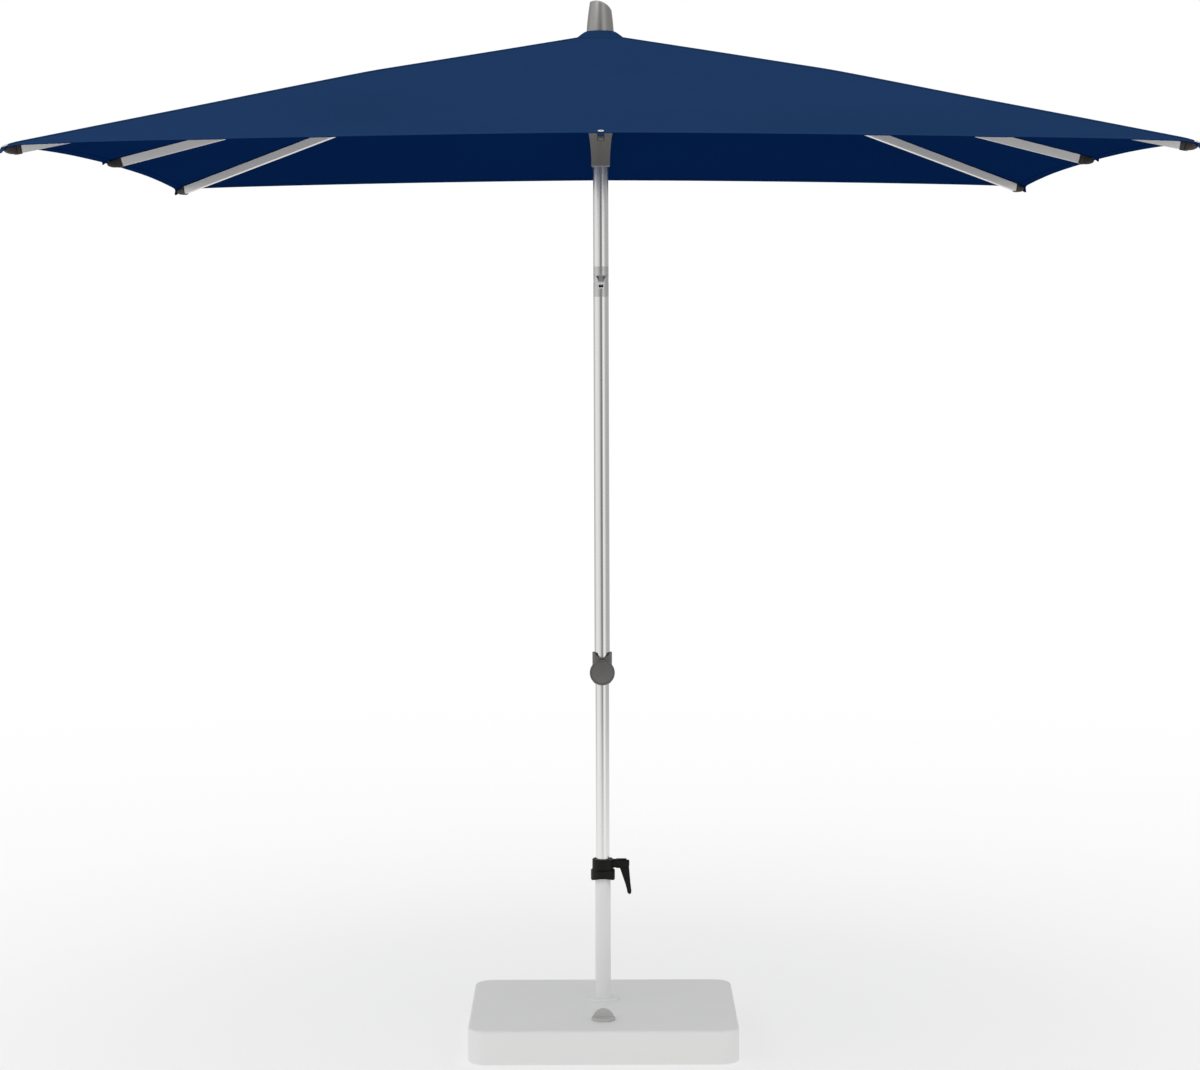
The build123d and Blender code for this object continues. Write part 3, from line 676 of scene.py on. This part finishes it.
@dataclass
class Canopy:
    """The sewn cloth: eight gores that meet as one sheet, and the cap at the top."""

    half_side: float = 1.200
    apex_radius: float = 0.060
    apex_height: float = 2.430
    hem_middle: float = 2.140
    hem_drop: float = 0.022
    hem_power: float = 1.459
    hem_knee: float = 0.64
    hem_tension: float = 0.22
    taut_power: float = 1.6
    knee_power: float = 14.0
    tension_power: float = 8.0
    bow_share: float = 0.402
    bow_rise: float = 0.0114
    bow_sharp: float = 24.0
    bow_power: float = 2.5
    sag: float = 0.005
    pull_in: float = 0.008
    inner: float = 0.052
    columns: int = 42
    seam_columns: int = 8
    rows: int = 84
    row_power: float = 1.9
    seam_half: float = 0.012
    welt_half: float = 0.008
    seam_rise: float = 0.0006
    corner_reach: float = 0.048
    corner_drop: float = 0.0045
    tab: Flap = Flap(half=0.0085, run=0.010, out=0.0005, drop=0.006, power=0.8)
    corner_flap: Flap = Flap(half=0.014, run=0.013, out=0.005, drop=0.012, power=2.0)
    tape_half: float = 0.0105
    tape_rise: float = 0.0010
    tape_columns: int = 6
    tape_short: int = 5
    fold_radius: float = 0.0008
    fold_rows: int = 4
    hem_rows: int = 7
    hem_width: float = 0.020
    thickness: float = 0.0007
    cap_radius: float = 0.078
    cap_rings: tuple[float, ...] = (
        0.007, 0.018, 0.028, 0.0335, 0.0375, 0.042, 0.047, 0.052, 0.056, 0.060, 0.066, 0.072)
    cap_flat: float = 0.035
    cap_top: float = 2.447
    cap_slope: float = 0.55
    cap_curve: float = 8.0
    cap_clear: float = 0.0010
    cap_blend: float = 0.0012
    cap_settle: float = 0.0003
    kept_width: float = 0.09

    def height(self, depth: float, across: float) -> float:
        """Height of the cloth on one side of the square.

        Args:
            depth: Distance from the pole towards that side.
            across: Distance along the side from its middle.

        Returns:
            The outer face's height.
        """
        s = max(-1.0, min(1.0, across / depth))
        reach = math.hypot(1.0, s)
        q = (depth * reach - self.apex_radius) / (self.half_side * reach - self.apex_radius)
        hem = self.hem_middle - self.hem_drop * abs(s) ** self.hem_power
        z = self.apex_height + (hem - self.apex_height) * q
        inside = max(0.0, min(1.0, q))
        taut = (1 - self.hem_knee) * abs(s) ** self.taut_power + self.hem_knee * abs(s) ** self.knee_power
        slack = abs(s) ** self.hem_power - taut
        z += self.hem_tension * self.hem_drop * slack * inside ** self.tension_power
        rise, fall = inside / self.bow_share, (1 - inside) / (1 - self.bow_share)
        bow = -math.log(math.exp(-self.bow_sharp * rise) + math.exp(-self.bow_sharp * fall)) / self.bow_sharp
        z += self.bow_rise * max(0.0, bow) * abs(s) ** self.bow_power
        z -= self.sag * math.sin(math.pi * s) ** 2 * math.sin(math.pi * inside ** 0.8)
        return z

    def ripple(self, place: Vector, share: float) -> float:
        """The slight unevenness of cloth under tension.

        Args:
            place: A point of the cloth.
            share: Distance out from the pole, from 0 to 1.

        Returns:
            A small rise.
        """
        broad = noise.noise(Vector((place.x * 2.2, place.y * 2.2, 3.1)))
        return 0.0016 * broad * math.sin(math.pi * min(1.0, share))

    def point(self, heading: Heading, side: int, lateral: float, depth: float) -> Vector:
        """A point of one gore's outer face.

        Args:
            heading: The rib that carries the gore.
            side: 1 anticlockwise of the rib, -1 clockwise of it.
            lateral: Distance from the rib, along the hem's direction.
            depth: Distance from the pole towards the nearest side of the square.

        Returns:
            The point, with hem curve, ripple and corner ear.
        """
        if heading.is_corner:
            face = heading.radians + side * math.pi / 4
            across = -side * (depth - lateral)
        else:
            face = heading.radians
            across = side * lateral
        s = across / depth
        share = depth / self.half_side
        pulled = depth - self.pull_in * math.sin(math.pi * s) ** 2 * share ** 6
        z = self.height(depth, across)
        x = pulled * math.cos(face) - across * math.sin(face)
        y = pulled * math.sin(face) + across * math.cos(face)
        place = Vector((x, y, z))
        place.z += self.ripple(place, share)
        if heading.is_corner:
            place.z += self.seam_rise * max(0.0, min(1.0, (self.welt_half - lateral) / 0.0015))
        return self.eared(heading, place, lateral, depth)

    def eared(self, heading: Heading, place: Vector, lateral: float, depth: float) -> Vector:
        """Draw the corners down and hang a small tab of cloth over each rib end's nose.

        Args:
            heading: The rib that carries the gore.
            place: A point before that.
            lateral: Its distance from the rib.
            depth: Its distance from the pole towards the side of the square.

        Returns:
            The lowered point.
        """
        out = Vector((math.cos(heading.radians), math.sin(heading.radians), 0))
        flap = self.corner_flap if heading.is_corner else self.tab
        if heading.is_corner:
            away = (out.xy * self.half_side * math.sqrt(2) - place.xy).length
            place = place - Vector((0, 0, self.corner_drop * max(0.0, 1 - away / self.corner_reach) ** 2))
        shoulder = max(0.0, min(1.0, 1.8 * (1 - lateral / flap.half)))
        beside = shoulder * shoulder * (3 - 2 * shoulder)
        near = max(0.0, 1 - (self.half_side - depth) / flap.run)
        drop = flap.drop * beside * near ** flap.power
        return place + out * flap.out * beside * near - Vector((0, 0, drop))

    def lateral(self, column: int, depth: float) -> float:
        """Distance of a column from its rib at one depth, even away from the seam."""
        if column <= self.seam_columns:
            return self.seam_half * column / self.seam_columns
        share = (column - self.seam_columns) / (self.columns - self.seam_columns)
        return self.seam_half + (depth / 2 - self.seam_half) * share

    def depth(self, row: int) -> float:
        """Depth of a row, closer together towards the hem."""
        left = 1 - min(row, self.rows) / self.rows
        return self.half_side - (self.half_side - self.inner) * left ** self.row_power

    def folded(self, heading: Heading, side: int, column: int, row: int) -> Vector:
        """A point of the hem past the last row, turned under and lying below the cloth.

        Args:
            heading: The rib that carries the gore.
            side: 1 anticlockwise of the rib, -1 clockwise of it.
            column: Columns away from the rib.
            row: Row, counted from the pole.

        Returns:
            The point.
        """
        step = row - self.rows
        back = self.hem_width * max(0, step - self.fold_rows) / self.hem_rows
        here, along, up = self.surface(heading, side, column, self.half_side - back)
        if back > 0:
            return here - up * 2 * self.fold_radius
        angle = math.pi * step / self.fold_rows
        forward, under = math.sin(angle), 1 - math.cos(angle)
        return here + along * self.fold_radius * forward - up * self.fold_radius * under

    def surface(self, heading: Heading, side: int, column: int,
                depth: float) -> tuple[Vector, Vector, Vector]:
        """A point of the outer face, with the directions towards the hem and out of the cloth.

        Args:
            heading: The rib that carries the gore.
            side: 1 anticlockwise of the rib, -1 clockwise of it.
            column: Columns away from the rib.
            depth: Distance from the pole towards the nearest side of the square.

        Returns:
            The point, the direction towards the hem and the outward normal.
        """
        lateral = self.lateral(column, depth)
        here = self.point(heading, side, lateral, depth)
        along = (here - self.point(heading, side, lateral, depth - 0.0012)).normalized()
        face = heading.radians + (side * math.pi / 4 if heading.is_corner else 0.0)
        edge = Vector((-math.sin(face), math.cos(face), 0.0))
        return here, along, along.cross(edge).normalized()

    def gore(self, heading: Heading, materials: Sequence[bpy.types.Material]) -> bpy.types.Object:
        """Sew one gore.

        Args:
            heading: The rib that carries it.
            materials: The cloth's face and its back, the back being the face's navy darkened as painted
                shade.

        Returns:
            The piece, riding on its rib.
        """
        shape, weave, sewing = blank()
        total = self.rows + self.fold_rows + self.hem_rows
        bmesh.ops.create_grid(shape, x_segments=2 * self.columns, y_segments=total, size=0.5)
        where: dict[int, tuple[int, int]] = {}
        for vert in shape.verts:
            column = round((vert.co.x + 0.5) * 2 * self.columns) - self.columns
            row = round((vert.co.y + 0.5) * total)
            where[vert.index] = (column, row)
            side = 1 if column >= 0 else -1
            if row <= self.rows:
                depth = self.depth(row)
                vert.co = self.point(heading, side, self.lateral(abs(column), depth), depth)
            else:
                vert.co = self.folded(heading, side, abs(column), row)
        for face in shape.faces:
            # Faces of the turned-under hem take the back finish, the navy darkened as painted shade.
            face.material_index = int(min(where[vert.index][1] for vert in face.verts) >= self.rows + 1)
            middle = sum(where[vert.index][0] for vert in face.verts)
            for loop in face.loops:
                column, row = where[loop.vert.index]
                depth = self.depth(row)
                extra = max(0, row - self.rows - self.fold_rows) / self.hem_rows * self.hem_width
                lateral = self.lateral(abs(column), depth) * (1 if middle > 0 else -1)
                seam = lateral if heading.is_corner else 1.0
                loop[weave].uv = (lateral, depth + extra)
                loop[sewing].uv = (seam, self.half_side - depth + extra)
        face_up(shape)
        for edge in shape.edges:
            edge.smooth = not edge.is_boundary
        piece = finished(f"cloth_{heading.place}", shape, materials)
        thicken(piece, self.thickness)
        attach(piece, f"rib_{heading.place}")
        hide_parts(f"gore_{heading.place}")
        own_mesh(piece)
        return piece

    def tape(self, heading: Heading, materials: Sequence[bpy.types.Material]) -> bpy.types.Object:
        """Sew the flat-felled seam that runs down a corner rib, which stays on the rib as the cloth folds.

        Args:
            heading: The corner rib.
            materials: The cloth's face and its back, the back being the face's navy darkened as painted
                shade.

        Returns:
            The piece, riding on its rib.
        """
        shape, weave, sewing = blank()
        last = self.rows - self.tape_short
        bmesh.ops.create_grid(shape, x_segments=2 * self.tape_columns, y_segments=last, size=0.5)
        flat: dict[int, tuple[float, float]] = {}
        for vert in shape.verts:
            lateral = vert.co.x * 2 * self.tape_half
            depth = self.depth(round((vert.co.y + 0.5) * last))
            flat[vert.index] = (lateral, depth)
            vert.co = self.point(heading, 1 if lateral >= 0 else -1, abs(lateral), depth)
            vert.co.z += self.tape_rise
        for face in shape.faces:
            for loop in face.loops:
                lateral, depth = flat[loop.vert.index]
                loop[weave].uv = (lateral, depth)
                loop[sewing].uv = (lateral, 1.0)
        face_up(shape)
        piece = finished(f"seam_{heading.place}", shape, materials)
        thicken(piece, self.tape_rise * 1.2, lining=0)
        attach(piece, f"rib_{heading.place}")
        return piece

    def cap(self, materials: Sequence[bpy.types.Material]) -> bpy.types.Object:
        """Sew the round cap over the crown, clamped under the finial.

        Args:
            materials: The cloth's face and its back, the back being the face's navy darkened as painted
                shade.

        Returns:
            The piece, riding on the mast.
        """
        shape, weave, sewing = blank()
        lathe(shape, [(radius, 0, 0) for radius in (*self.cap_rings, self.cap_radius)], (0, 0, 1), 96)
        for vert in shape.verts:
            vert.co.z = self.cap_height(vert.co)
        bmesh.ops.recalc_face_normals(shape, faces=shape.faces)
        face_up(shape)
        for face in shape.faces:
            for loop in face.loops:
                x, y = loop.vert.co.xy
                radius = loop.vert.co.xy.length
                loop[weave].uv = (x, y)
                loop[sewing].uv = (self.cap_radius - radius, math.atan2(y, x) * radius)
        piece = finished("cloth_cap", shape, materials)
        thicken(piece, self.thickness)
        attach(piece, "top")
        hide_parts("canopy_cap")
        return piece

    def cap_height(self, place: Vector) -> float:
        """Height of the cap: flat, then sloping down to lie on the gores.

        Args:
            place: A point in plan.

        Returns:
            The outer face's height.
        """
        radius = place.xy.length
        depth = max(abs(place.x), abs(place.y), 1e-6)
        across = min(abs(place.x), abs(place.y))
        lying = self.height(depth, across) + self.cap_clear
        past = max(0.0, radius - self.cap_flat)
        gap = self.cap_top - self.cap_slope * past - self.cap_curve * past ** 2 - lying
        return lying + 0.5 * (gap + math.hypot(gap, self.cap_blend)) - self.cap_settle

    def eyelet(self, heading: Heading, finish: bpy.types.Material, hook: bpy.types.Material) -> None:
        """Press a metal eyelet into the cloth at a rib's tip, over the rib end's hook.

        Args:
            heading: The rib at whose tip it sits.
            finish: The ring's metal.
            hook: The plastic of the hook inside it.
        """
        back = 0.013
        out = Vector((math.cos(heading.radians), math.sin(heading.radians), 0))
        reach = back / math.sqrt(2) if heading.is_corner else back
        here = self.point(heading, 1, 0.0, self.half_side - reach)
        behind = self.point(heading, 1, 0.0, self.half_side - reach - 0.006)
        along = (here - behind).normalized()
        flat = Vector((0, 0, 1)).cross(out)
        normal = along.cross(flat).normalized()
        if normal.z < 0:
            normal = -normal
        side = normal.cross(along).normalized()
        turn = Matrix((along, side, normal)).transposed().to_4x4()
        place = Matrix.Translation(here + normal * 0.0004) @ turn
        washer = finished(f"eyelet_{heading.place}", ring(0.0047, 0.0019, 0.55, place), [finish])
        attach(washer, f"rib_{heading.place}")
        stud = bmesh.new()
        bmesh.ops.create_cone(stud, cap_ends=True, segments=24, radius1=0.0030, radius2=0.0026, depth=0.004,
                              matrix=place @ Matrix.Translation((0, 0, -0.0012)))
        tops = [edge for edge in stud.edges if len(edge.link_faces) == 2 and edge.calc_face_angle() > 1.0]
        bmesh.ops.bevel(stud, geom=tops, offset=0.0004, affect="EDGES", segments=2, profile=0.5, material=-1)
        knob = finished(f"hook_{heading.place}", stud, [hook], smooth=False)
        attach(knob, f"rib_{heading.place}")

    def build(self, finishes: Finishes) -> None:
        """Sew every gore, the cap and the eyelets."""
        # The second finish is the face's navy darkened: painted shade on the canopy's underside.
        cloth = [finishes.get(CLOTH_TOP), finishes.get(CLOTH_BACK_PAINTED_SHADE)]
        for heading in Heading:
            piece = self.gore(heading, cloth)
            self.eyelet(heading, finishes.get(EYELET), finishes.get(RIB_END))
            LOG.info("%s sewn, with its eyelet", piece.name)
            if heading.is_corner:
                LOG.info("%s sewn", self.tape(heading, cloth).name)
        LOG.info("%s sewn", self.cap(cloth).name)


# ---- the rib ends


@dataclass(frozen=True)
class Ridge:
    """The cloth's straight line over a rib, from near the pole to the tip, and how far the rib lies below."""

    near: float
    high: float
    far: float
    low: float
    drop: float


@dataclass
class RibEnd:
    """The beak-shaped moulding that closes a rib: a band round the tube and a hooked nose under the hem."""

    heading: Heading
    corner: Ridge = Ridge(near=0.718, high=2.316, far=1.2 * math.sqrt(2), low=2.118, drop=0.0130)
    middle: Ridge = Ridge(near=0.060, high=2.430, far=1.200, low=2.140, drop=0.0118)
    tube_short: float = 0.039
    half_height: float = 0.010
    band_back: float = -0.008
    band_front: float = 0.003
    band_half: float = 0.0075
    band_foot: float = -0.0115
    beak_half: float = 0.0052
    beak_rounding: float = 0.0018
    band_rounding: float = 0.0008
    wall: float = 0.0004
    outline: tuple[tuple[float, float], ...] = (
        (0.0020, 0.0098), (0.0200, 0.0088), (0.0250, 0.0074), (0.0278, 0.0050), (0.0285, 0.0020),
        (0.0268, -0.0012), (0.0235, -0.0040), (0.0190, -0.0065), (0.0130, -0.0085), (0.0070, -0.0098),
        (0.0020, -0.0105))

    def place(self) -> Matrix:
        """The rib's own axes at the end of its tube: X along it, Y across it, Z out of its top."""
        ridge = self.corner if self.heading.is_corner else self.middle
        run, fall = ridge.far - ridge.near, ridge.low - ridge.high
        slope = math.atan2(fall, run)
        radius = ridge.far - self.tube_short
        height = ridge.high + fall / run * (radius - ridge.near) - ridge.drop / math.cos(slope)
        return (Matrix.Rotation(self.heading.radians, 4, "Z") @ Matrix.Translation((radius, 0, height))
                @ Matrix.Rotation(-slope, 4, "Y"))

    def build(self, finishes: Finishes) -> None:
        """Make the moulding, which rides on its rib."""
        shape = bmesh.new()
        slab(shape, self.outline, self.beak_half, self.beak_rounding)
        top = self.half_height + self.wall
        band = ((self.band_back, top), (self.band_front, top), (self.band_front, self.band_foot),
                (self.band_back, self.band_foot))
        slab(shape, band, self.band_half, self.band_rounding)
        bmesh.ops.recalc_face_normals(shape, faces=shape.faces)
        bmesh.ops.transform(shape, matrix=self.place(), verts=shape.verts)
        piece = finished(f"rib_beak_{self.heading.place}", shape, [finishes.get(RIB_END)])
        soften(piece, 40.0)
        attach(piece, f"rib_{self.heading.place}")
        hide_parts(f"rib_end_{self.heading.place}")
        LOG.info("%s made", piece.name)


# ---- the clamp lever


@dataclass
class ClampLever:
    """The lever that tightens the base clamp: a sleeve over the boss and a hanging handle."""

    axis_height: float = 0.423
    boss_radius: float = 0.01125
    hub_radius: float = 0.0121
    hub_start: float = 0.0330
    seat: float = 0.0502
    bore: float = 0.00405
    bore_end: float = 0.0615
    half_width: float = 0.0070
    rounding: float = 0.0026
    outline: tuple[tuple[float, float], ...] = (
        (0.0380, -0.0030), (0.0437, -0.0165), (0.0494, -0.0335), (0.0550, -0.0505), (0.0587, -0.0640),
        (0.0598, -0.0720), (0.0640, -0.0767), (0.0690, -0.0750), (0.0702, -0.0690), (0.0679, -0.0505),
        (0.0660, -0.0277), (0.0640, -0.0030))

    def hub(self, shape: bmesh.types.BMesh) -> None:
        """Spin the sleeve and its stepped end round the screw's axis."""
        profile = ((self.bore_end, 0.0), (self.bore_end, self.bore), (self.seat, self.bore),
                   (self.seat, self.boss_radius), (self.hub_start, self.boss_radius),
                   (self.hub_start, self.hub_radius - 0.0004), (self.hub_start + 0.0006, self.hub_radius),
                   (0.0570, self.hub_radius), (0.0582, self.hub_radius - 0.0010), (0.0586, 0.0090),
                   (0.0636, 0.0086), (0.0648, 0.0074), (0.0652, 0.0060), (0.0652, 0.0))
        lathe(shape, [(x, 0.0, radius) for x, radius in profile], (1, 0, 0), 56)

    def build(self, finishes: Finishes) -> None:
        """Make the lever, which rides on its own body."""
        shape = bmesh.new()
        self.hub(shape)
        slab(shape, self.outline, self.half_width, self.rounding, segments=4)
        bmesh.ops.recalc_face_normals(shape, faces=shape.faces)
        bmesh.ops.translate(shape, verts=shape.verts, vec=(0, 0, self.axis_height))
        piece = finished("lever_handle", shape, [finishes.get(CLAMP)])
        soften(piece)
        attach(piece, "lever")
        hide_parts("clamp_lever")
        LOG.info("%s made", piece.name)


# ---- carried-over hardware


DRESSED = (
    (RUNNER, "crown", "runner"),
    (STEEL, "crown_pins", "runner_pins"),
    (FINIAL, "finial"),
    (POLE, "mast_tube", "upper_pole", "lower_pole"),
    (TILT_ALLOY, "tilt_fork", "tilt_tongue"),
    (FITTING, "telescope_collar", "telescope_knob"),
    (STEEL, "tilt_pin", "knob_screw", "clamp_screw"),
    (BASE, "base_shell"),
    (PLUG, "filler_plug"),
    (FILLING, "base_ballast"),
    (RUBBER, "base_feet"),
    (STEM, "stem_tube", "stem_flange"),
    (CLAMP, "base_clamp"),
)


@dataclass
class Hardware:
    """The pieces whose shapes come finished from the frame and only need their materials."""

    nodes: dict[str, bpy.types.Object]
    finishes: Finishes

    def dress(self, finish: object, *names: str) -> None:
        """Give a finish to some nodes.

        Args:
            finish: The finish.
            *names: The nodes.
        """
        material = self.finishes.get(finish)
        for name in names:
            mesh = self.nodes[name].data
            mesh.materials.clear()
            mesh.materials.append(material)
            LOG.info("%s finished in %s", name, finish.name)

    def build(self) -> None:
        """Finish every node that is shown as it is."""
        for heading in Heading:
            self.dress(rib_finish(heading), f"rib_{heading.place}", f"strut_{heading.place}")
            if heading.is_corner:
                self.dress(STEEL, f"bracket_{heading.place}")
        for finish, *names in DRESSED:
            self.dress(finish, *names)


# ---- studio


@dataclass
class Studio:
    """A pale floor, soft lights and the camera."""

    distance: float = 6.991
    height: float = 1.818
    pitch: float = 4.78
    roll: float = 0.19
    aside: float = -0.0044
    lens: float = 86.355
    floor_half: float = 60.0
    key_place: tuple[float, ...] = (-2.5, -3.5, 5.5)
    key_aim: tuple[float, ...] = (0.0, 0.0, 1.3)
    key_size: float = 3.0
    key_watts: float = 25.0
    panels: tuple[tuple[float, float], ...] = (
        (-180, 0.48), (-128, 0.50), (-100, 0.80), (-81, 0.88), (-47, 0.80), (-30, 0.66), (-17, 0.42),
        (0, 0.13), (12, 0.34), (31, 1.05), (45, 0.82), (67, 0.47), (89, 0.44), (128, 0.46), (180, 0.48))

    def reflectors(self, graph: Graph, vector: bpy.types.NodeSocket) -> bpy.types.NodeSocket:
        """Tall light and dark panels round the set, as they show in polished metal.

        Args:
            graph: Where the nodes go.
            vector: The direction, or the place on the floor.

        Returns:
            The panels' brightness.
        """
        right, back, _ = graph.split(vector)
        angle = graph.math("ARCTAN2", right, graph.math("MULTIPLY", back, -1.0))
        ramp = graph.add("ValToRGB")
        ramp.color_ramp.interpolation = "EASE"
        stops = ramp.color_ramp.elements
        while len(stops) < len(self.panels):
            stops.new(0.5)
        for stop, (turn, _) in zip(stops, self.panels):
            stop.position = (turn + 180) / 360
        for stop, (_, level) in zip(stops, self.panels):
            stop.color = (level, level, level, 1.0)
        graph.join(graph.fade(angle, 0.0, 1.0, -math.pi, math.pi), ramp.inputs["Fac"])
        return ramp.outputs["Color"]

    def floor(self) -> None:
        """Lay the pale floor, which runs out to plain white far away."""
        shape = bmesh.new()
        bmesh.ops.create_grid(shape, x_segments=4, y_segments=4, size=self.floor_half)
        recipe = Recipe("studio_floor")
        place = recipe.position()
        recipe.tint(recipe.cloud(place, 0.4), WHITE, 0.50, 0.52)
        recipe.plain(Roughness=0.9, Specular_IOR_Level=0.0, Emission_Color=WHITE, Emission_Strength=0.47)
        length = recipe.add("VectorMath", operation="LENGTH")
        recipe.join(place, length.inputs[0])
        far = recipe.fade(length.outputs["Value"], 0.0, 1.0, 1.2, 6.0)
        white, mirrored = recipe.add("Emission"), recipe.add("Emission")
        pale = recipe.mix(far, recipe.shader.outputs["BSDF"], white.outputs["Emission"])
        recipe.join(self.reflectors(recipe, place), mirrored.inputs["Color"])
        glossy = recipe.math("MULTIPLY", recipe.add("LightPath").outputs["Is Glossy Ray"], far)
        both = recipe.mix(glossy, pale, mirrored.outputs["Emission"])
        recipe.join(both, recipe.tree.nodes["Material Output"].inputs["Surface"])
        finished("studio_floor", shape, [recipe.material])

    def light(self) -> None:
        """Hang the one softbox."""
        lamp = bpy.data.lights.new("key_softbox", "AREA")
        lamp.size = self.key_size
        lamp.energy = self.key_watts
        stand = bpy.data.objects.new("key_softbox", lamp)
        stand.location = self.key_place
        aim = Vector(self.key_aim) - Vector(self.key_place)
        stand.rotation_euler = aim.to_track_quat("-Z", "Y").to_euler()
        bpy.context.scene.collection.objects.link(stand)

    def sky(self) -> None:
        """Surround the set with a white backdrop, panels at the sides and a bright ceiling."""
        world = bpy.data.worlds.new("studio_light")
        world.use_nodes = True
        bpy.context.scene.world = world
        graph = Graph(world.node_tree)
        direction = graph.add("TexCoord").outputs["Generated"]
        rise = graph.fade(graph.split(direction)[2], 0.0, 1.0, 0.30, 0.75, "SMOOTHSTEP")
        ceiling = graph.blend(rise, self.reflectors(graph, direction), shade(WHITE, 1.12))
        backdrop = graph.blend(graph.add("LightPath").outputs["Is Camera Ray"], ceiling, WHITE)
        graph.join(backdrop, graph.tree.nodes["Background"].inputs["Color"])

    def camera(self) -> None:
        """Set up the camera, below the canopy's hem and looking slightly down."""
        eye = bpy.data.objects.new("camera", bpy.data.cameras.new("camera"))
        eye.data.lens = self.lens
        eye.data.sensor_width = 36.0
        eye.data.clip_end = 200.0
        tilt = Matrix.Rotation(math.radians(90 - self.pitch), 4, "X")
        aim = tilt @ Matrix.Rotation(-math.radians(self.roll), 4, "Z")
        eye.matrix_world = Matrix.Translation((self.aside, -self.distance, self.height)) @ aim
        bpy.context.scene.collection.objects.link(eye)
        bpy.context.scene.camera = eye

    def build(self) -> None:
        """Set everything up."""
        self.floor()
        self.sky()
        self.light()
        self.camera()
        bpy.context.scene.view_settings.view_transform = "Standard"
        LOG.info("studio ready")


def main() -> None:
    """Build the umbrella's looks around its frame."""
    logging.basicConfig(level=logging.INFO, format="%(name)s: %(message)s")
    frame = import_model()
    finishes = Finishes()
    Hardware(frame["nodes"], finishes).build()
    for heading in Heading:
        RibEnd(heading).build(finishes)
    ClampLever().build(finishes)
    Canopy().build(finishes)
    Studio().build()


if __name__ == "__main__":
    main()
